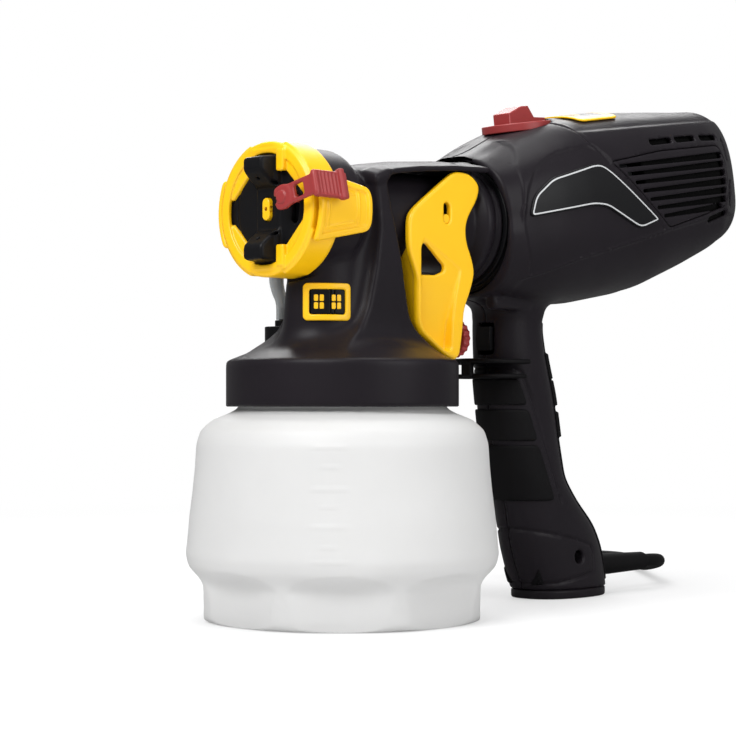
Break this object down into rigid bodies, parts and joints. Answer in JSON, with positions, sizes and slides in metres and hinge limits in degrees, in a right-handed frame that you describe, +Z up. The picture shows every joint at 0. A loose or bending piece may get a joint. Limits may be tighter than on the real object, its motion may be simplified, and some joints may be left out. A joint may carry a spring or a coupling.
{
  "type": "handheld paint sprayer",
  "caption": "Handheld turbine paint sprayer: spray head with air cap, trigger and flow knob on a screw-on container, locked to a turbine handle with a power lead.",
  "frame": {"origin": "centre of the container's base, on the surface that the sprayer stands on", "axes": "+Z up, +X from the nozzle towards the rear of the turbine housing, so the nozzle points to -X; -Y is the left side of the sprayer"},
  "size_m": [0.4209, 0.2199, 0.2603],
  "materials": {
    "container_plastic": "frosted translucent white",
    "charcoal_plastic": "fine-grained satin charcoal",
    "black_plastic": "satin black",
    "black_rubber": "matte black",
    "red_rubber": "matte red",
    "yellow_plastic": "semi-gloss signal yellow",
    "red_plastic": "satin brick red",
    "white_plastic": "plain white",
    "clear_plastic": "clear soft tube",
    "casing_plastic": "plain grey-black",
    "badge_print": "gloss black print with a pale outline",
    "foam": "open-cell grey foam",
    "steel": "bright steel",
    "brass": "turned brass",
    "impeller_aluminium": "cast aluminium"
  },
  "bodies": {
    "container": {"container": "container_plastic"},
    "gasket": {"container_gasket": "black_rubber"},
    "front": {"front_housing": "charcoal_plastic", "suction_seal": "black_rubber", "fluid_nozzle": "yellow_plastic", "nozzle_seal": "black_rubber", "fairing_left": "yellow_plastic", "fairing_right": "yellow_plastic", "needle_spring": "steel", "needle_packing": "white_plastic", "packing_nut": "brass", "spring_cap": "brass", "pivot_pin": "steel", "air_hose": "clear_plastic", "hose_elbow": "black_plastic", "valve_housing": "black_plastic", "valve_cap": "black_plastic", "valve_membrane": "white_plastic", "label_frame": "yellow_plastic", "label_panel": "black_plastic"},
    "suction": {"suction_tube": "white_plastic"},
    "pattern": {"nozzle_ring": "yellow_plastic", "air_cap": "black_plastic"},
    "width": {"width_lever": "red_plastic", "width_disc": "black_plastic"},
    "needle": {"needle": "steel", "cross_pin": "yellow_plastic"},
    "trigger": {"trigger": "yellow_plastic"},
    "knob": {"flow_knob": "red_plastic"},
    "twist": {"coupling_seal": "red_rubber"},
    "turbine": {"mouth_ring": "black_plastic", "shell_left": "charcoal_plastic", "shell_right": "charcoal_plastic", "spine_strip": "black_rubber", "grip_pads": "black_rubber", "finger_rest": "black_rubber", "foot_base": "charcoal_plastic", "badge_left": "badge_print", "badge_right": "badge_print", "top_plate": "yellow_plastic", "switch_body": "black_plastic", "filter_left": "foam", "filter_right": "foam", "air_duct": "black_plastic", "turbine_casing": "casing_plastic", "motor_can": "steel", "motor_bearings": "steel", "motor_damper": "black_rubber", "shell_screws": "steel", "inner_lead": "black_rubber", "strain_relief": "black_rubber", "cord": "black_rubber", "plug_body": "black_rubber", "plug_blades": "brass"},
    "selector": {"selector": "red_plastic"},
    "rocker": {"power_switch": "black_plastic"},
    "rotor": {"impeller_set": "impeller_aluminium", "motor_shaft": "steel"},
    "vent_left": {"cover_left": "charcoal_plastic"},
    "vent_right": {"cover_right": "charcoal_plastic"}
  },
  "joints": [
    {"name": "container_unscrew", "type": "hinge", "parent": "container", "child": "gasket", "pos_m": [0, 0, 0.114], "axis": [0, 0, 1], "range_deg": [0, 90]},
    {"name": "gun_lift", "type": "slide", "parent": "gasket", "child": "front", "axis": [0, 0, 1], "range_m": [0, 0.12]},
    {"name": "suction_turn", "type": "hinge", "parent": "front", "child": "suction", "pos_m": [-0.016, 0, 0.12], "axis": [0, 0, 1], "range_deg": [0, 180]},
    {"name": "pattern_turn", "type": "hinge", "parent": "front", "child": "pattern", "pos_m": [-0.04, 0, 0.185], "axis": [-1, 0, 0], "range_deg": [0, 90]},
    {"name": "width_turn", "type": "hinge", "parent": "pattern", "child": "width", "pos_m": [-0.042, 0, 0.185], "axis": [1, 0, 0], "range_deg": [0, 26]},
    {"name": "trigger_pull", "type": "hinge", "parent": "front", "child": "trigger", "pos_m": [0.056, 0, 0.2025], "axis": [0, -1, 0], "range_deg": [0, 8], "stiffness_Nm_per_rad": 1.2, "springref_deg": -14.32},
    {"name": "needle_slide", "type": "slide", "parent": "front", "child": "needle", "axis": [1, 0, 0], "range_m": [0, 0.0023], "deforming": ["needle_spring"]},
    {"name": "flow_turn", "type": "hinge", "parent": "trigger", "child": "knob", "pos_m": [0.079, 0, 0.1305], "axis": [1, 0, 0], "range_deg": [0, 270]},
    {"name": "coupling_twist", "type": "hinge", "parent": "front", "child": "twist", "pos_m": [0.09, 0, 0.185], "axis": [-1, 0, 0], "range_deg": [0, 45]},
    {"name": "turbine_pull", "type": "slide", "parent": "twist", "child": "turbine", "axis": [1, 0, 0], "range_m": [0, 0.06]},
    {"name": "selector_turn", "type": "hinge", "parent": "turbine", "child": "selector", "pos_m": [0.12944, 0, 0.19248], "axis": [-0.1495, 0, 0.9888], "range_deg": [0, 90]},
    {"name": "switch_rock", "type": "hinge", "parent": "turbine", "child": "rocker", "pos_m": [0.105, 0, 0.131], "axis": [0, 1, 0], "range_deg": [0, 8]},
    {"name": "rotor_spin", "type": "hinge", "parent": "turbine", "child": "rotor", "pos_m": [0.08, 0, 0.185], "axis": [0.9888, 0, 0.1495], "continuous": true},
    {"name": "vent_left_off", "type": "slide", "parent": "turbine", "child": "vent_left", "axis": [0, -1, 0], "range_m": [0, 0.03]},
    {"name": "vent_right_off", "type": "slide", "parent": "turbine", "child": "vent_right", "axis": [0, 1, 0], "range_m": [0, 0.03]}
  ],
  "couplings": [
    {"joint": "needle_slide", "follows": "trigger_pull", "m_per_rad": 0.0164}
  ]
}
